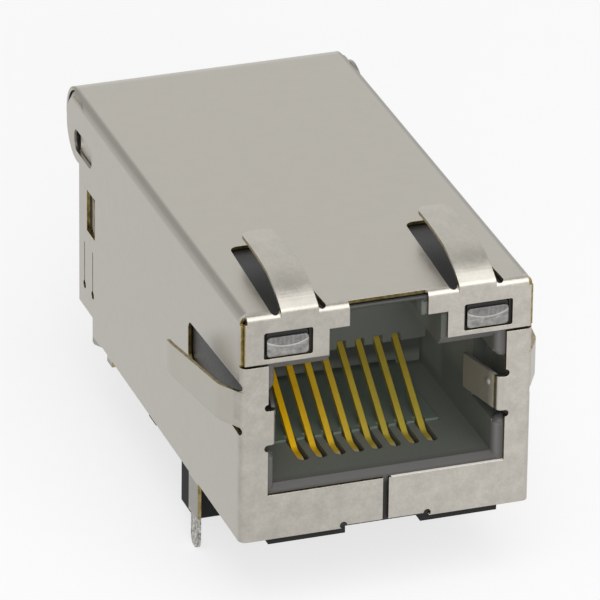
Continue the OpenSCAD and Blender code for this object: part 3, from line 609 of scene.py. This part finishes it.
def lens_rings():
    """The cap's outlines from back to crown, each as how far it draws in and its depth."""
    rings = [(0.0, LENS_BACK), (0.0, LENS_SHOULDER)]
    for degrees in (15, 30, 45, 60, 75, 90):
        a = math.radians(degrees)
        rings.append((LENS_ROLL * (1 - math.cos(a)), LENS_SHOULDER - 0.5 * LENS_ROLL * math.sin(a)))
    edge = rings[-1][1]
    for t in (0.3, 0.6, 1.0):
        rise = math.sin(math.radians(90 * t))
        rings.append((LENS_ROLL + CROWN_RUN * t, edge - (edge - LENS_CROWN) * rise))
    return rings


def lens_cap(name, side, mat):
    """A crowned cap that stands on the indicator's dark body and fills most of its window."""
    bm = bmesh.new()
    loops = []
    for drawn_in, depth in lens_rings():
        corner = max(LEAST_CORNER, LENS_CORNER - 0.4 * drawn_in)
        outline = rounded_loop(LENS_HALF[0] - drawn_in, LENS_HALF[1] - drawn_in, corner)
        loops.append([
            bm.verts.new(((side * LENS[0] + px) * MM, (FRONT + depth) * MM, (LENS[1] + pz) * MM))
            for px, pz in outline
        ])
    for low, high in zip(loops, loops[1:]):
        for k in range(len(low)):
            bm.faces.new((low[k - 1], low[k], high[k], high[k - 1]))
    bm.faces.new(loops[-1])
    bm.faces.new(list(reversed(loops[0])))
    bmesh.ops.remove_doubles(bm, verts=bm.verts, dist=MERGE)
    bmesh.ops.recalc_face_normals(bm, faces=bm.faces)
    for face in bm.faces:
        face.smooth = True
    mesh = bpy.data.meshes.new(name)
    bm.to_mesh(mesh)
    bm.free()
    mesh.materials.append(mat)
    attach(add(name, mesh), "root")


milky = lens()
lens_cap("lens_cap_left", -1, milky)
lens_cap("lens_cap_right", 1, milky)


# The camera: its angles in degrees, its distance and target in millimetres, its focal length in pixels
AZIMUTH, ELEVATION, ROLL = (math.radians(a) for a in (19.36, 26.525, 0.742))
DISTANCE = 377.171
TARGET = Vector((-1.338, -0.05, 8.802))
FOCAL_PX = 7187.511
IMAGE_PX = 600
SENSOR = 36
# The nearest and the furthest that it sees, in metres
CLIP = (0.01, 20)


def build_camera():
    ahead = Vector((
        math.sin(AZIMUTH) * math.cos(ELEVATION), math.cos(AZIMUTH) * math.cos(ELEVATION), -math.sin(ELEVATION)
    ))
    level = Vector((math.cos(AZIMUTH), -math.sin(AZIMUTH), 0))
    upright = level.cross(ahead)
    right = math.cos(ROLL) * level + math.sin(ROLL) * upright
    up = -math.sin(ROLL) * level + math.cos(ROLL) * upright
    data = bpy.data.cameras.new("camera")
    data.sensor_width = SENSOR
    data.lens = SENSOR * FOCAL_PX / IMAGE_PX
    data.clip_start, data.clip_end = CLIP
    camera = add("camera", data)
    turn = Matrix((right, up, -ahead)).transposed().to_4x4()
    camera.matrix_world = Matrix.Translation((TARGET - ahead * DISTANCE) * MM) @ turn
    bpy.context.scene.camera = camera


build_camera()


# The floor's half width in metres, and where its mirrored light fades, in millimetres along Y
FLOOR_HALF = 3.0
FLOOR_FADE = (-22.0, -8.0)


def build_floor():
    """A wide pale floor at the pins' tips, very slightly uneven."""
    mesh = bpy.data.meshes.new("floor")
    bm = bmesh.new()
    bm.faces.new([
        bm.verts.new((sx * FLOOR_HALF, sy * FLOOR_HALF, -PIN_L * MM))
        for sx, sy in ((-1, -1), (1, -1), (1, 1), (-1, 1))
    ])
    bm.to_mesh(mesh)
    bm.free()
    net = Net("floor_paper")
    grain = net.noise(0.8, 3.0)
    base = net.mix(grain, (0.86, 0.86, 0.86), (0.9, 0.9, 0.9))
    net.set(Base_Color=base, Roughness=0.85, Specular_IOR_Level=0.1)
    y = net.axes(net.point())[1]
    white = net.node("ShaderNodeEmission", Strength=1.0).outputs[0]
    glow = net.node("ShaderNodeEmission", Strength=net.span(y, FLOOR_FADE, (1.0, 0.86))).outputs[0]
    rays = net.node("ShaderNodeLightPath").outputs
    paper = net.shaders(net.product(rays["Is Camera Ray"], 0.72), net.shader.outputs[0], white)
    net.put(net.out, "Surface", net.shaders(net.mirrored(rays), paper, glow))
    mesh.materials.append(net.mat)
    return add("floor", mesh)


build_floor()


# The tones of the paper round the jack, each with the height where it is, from 0 on the horizon to 1 above
PAPER = (
    (0.0, 1.0), (0.3, 0.96), (0.46, 0.84), (0.6, 0.92), (0.74, 0.86), (0.88, 0.66), (0.96, 0.36), (1.0, 0.3)
)


def build_world():
    """Even light for matt surfaces; white paper round the horizon, and greyer above, for what mirrors it."""
    world = bpy.data.worlds.new("studio")
    bpy.context.scene.world = world
    world.use_nodes = True
    net = Tree(world.node_tree)
    height = net.axes(net.node("ShaderNodeTexCoord").outputs["Generated"])[2]
    soft = net.node("ShaderNodeBackground", Color=(0.98, 0.99, 1.0, 1), Strength=0.45).outputs[0]
    paper = net.node("ShaderNodeBackground", Color=net.ramp(height, PAPER), Strength=1.0).outputs[0]
    rays = net.node("ShaderNodeLightPath").outputs
    seen = net.either(rays["Is Camera Ray"], net.mirrored(rays))
    net.node("ShaderNodeOutputWorld", Surface=net.shaders(seen, soft, paper))


build_world()


def softbox(name, direction, distance, size, power):
    """A lit rectangle that faces the jack: its distance and size in metres, its power in watts."""
    light = bpy.data.lights.new(name, "AREA")
    light.shape = "RECTANGLE"
    light.size, light.size_y = size
    light.energy = power
    away = Vector(direction).normalized()
    obj = add(name, light)
    obj.location = away * distance
    obj.rotation_euler = away.to_track_quat("Z", "Y").to_euler()
    return obj


softbox("overhead", direction=(0.0, -0.6, 1.0), distance=0.51, size=(0.5, 0.62), power=1.9)
fill = softbox("front_fill", direction=(-0.2, -0.95, 0.3), distance=0.6, size=(0.3, 0.24), power=1.6)
fill.visible_glossy = False
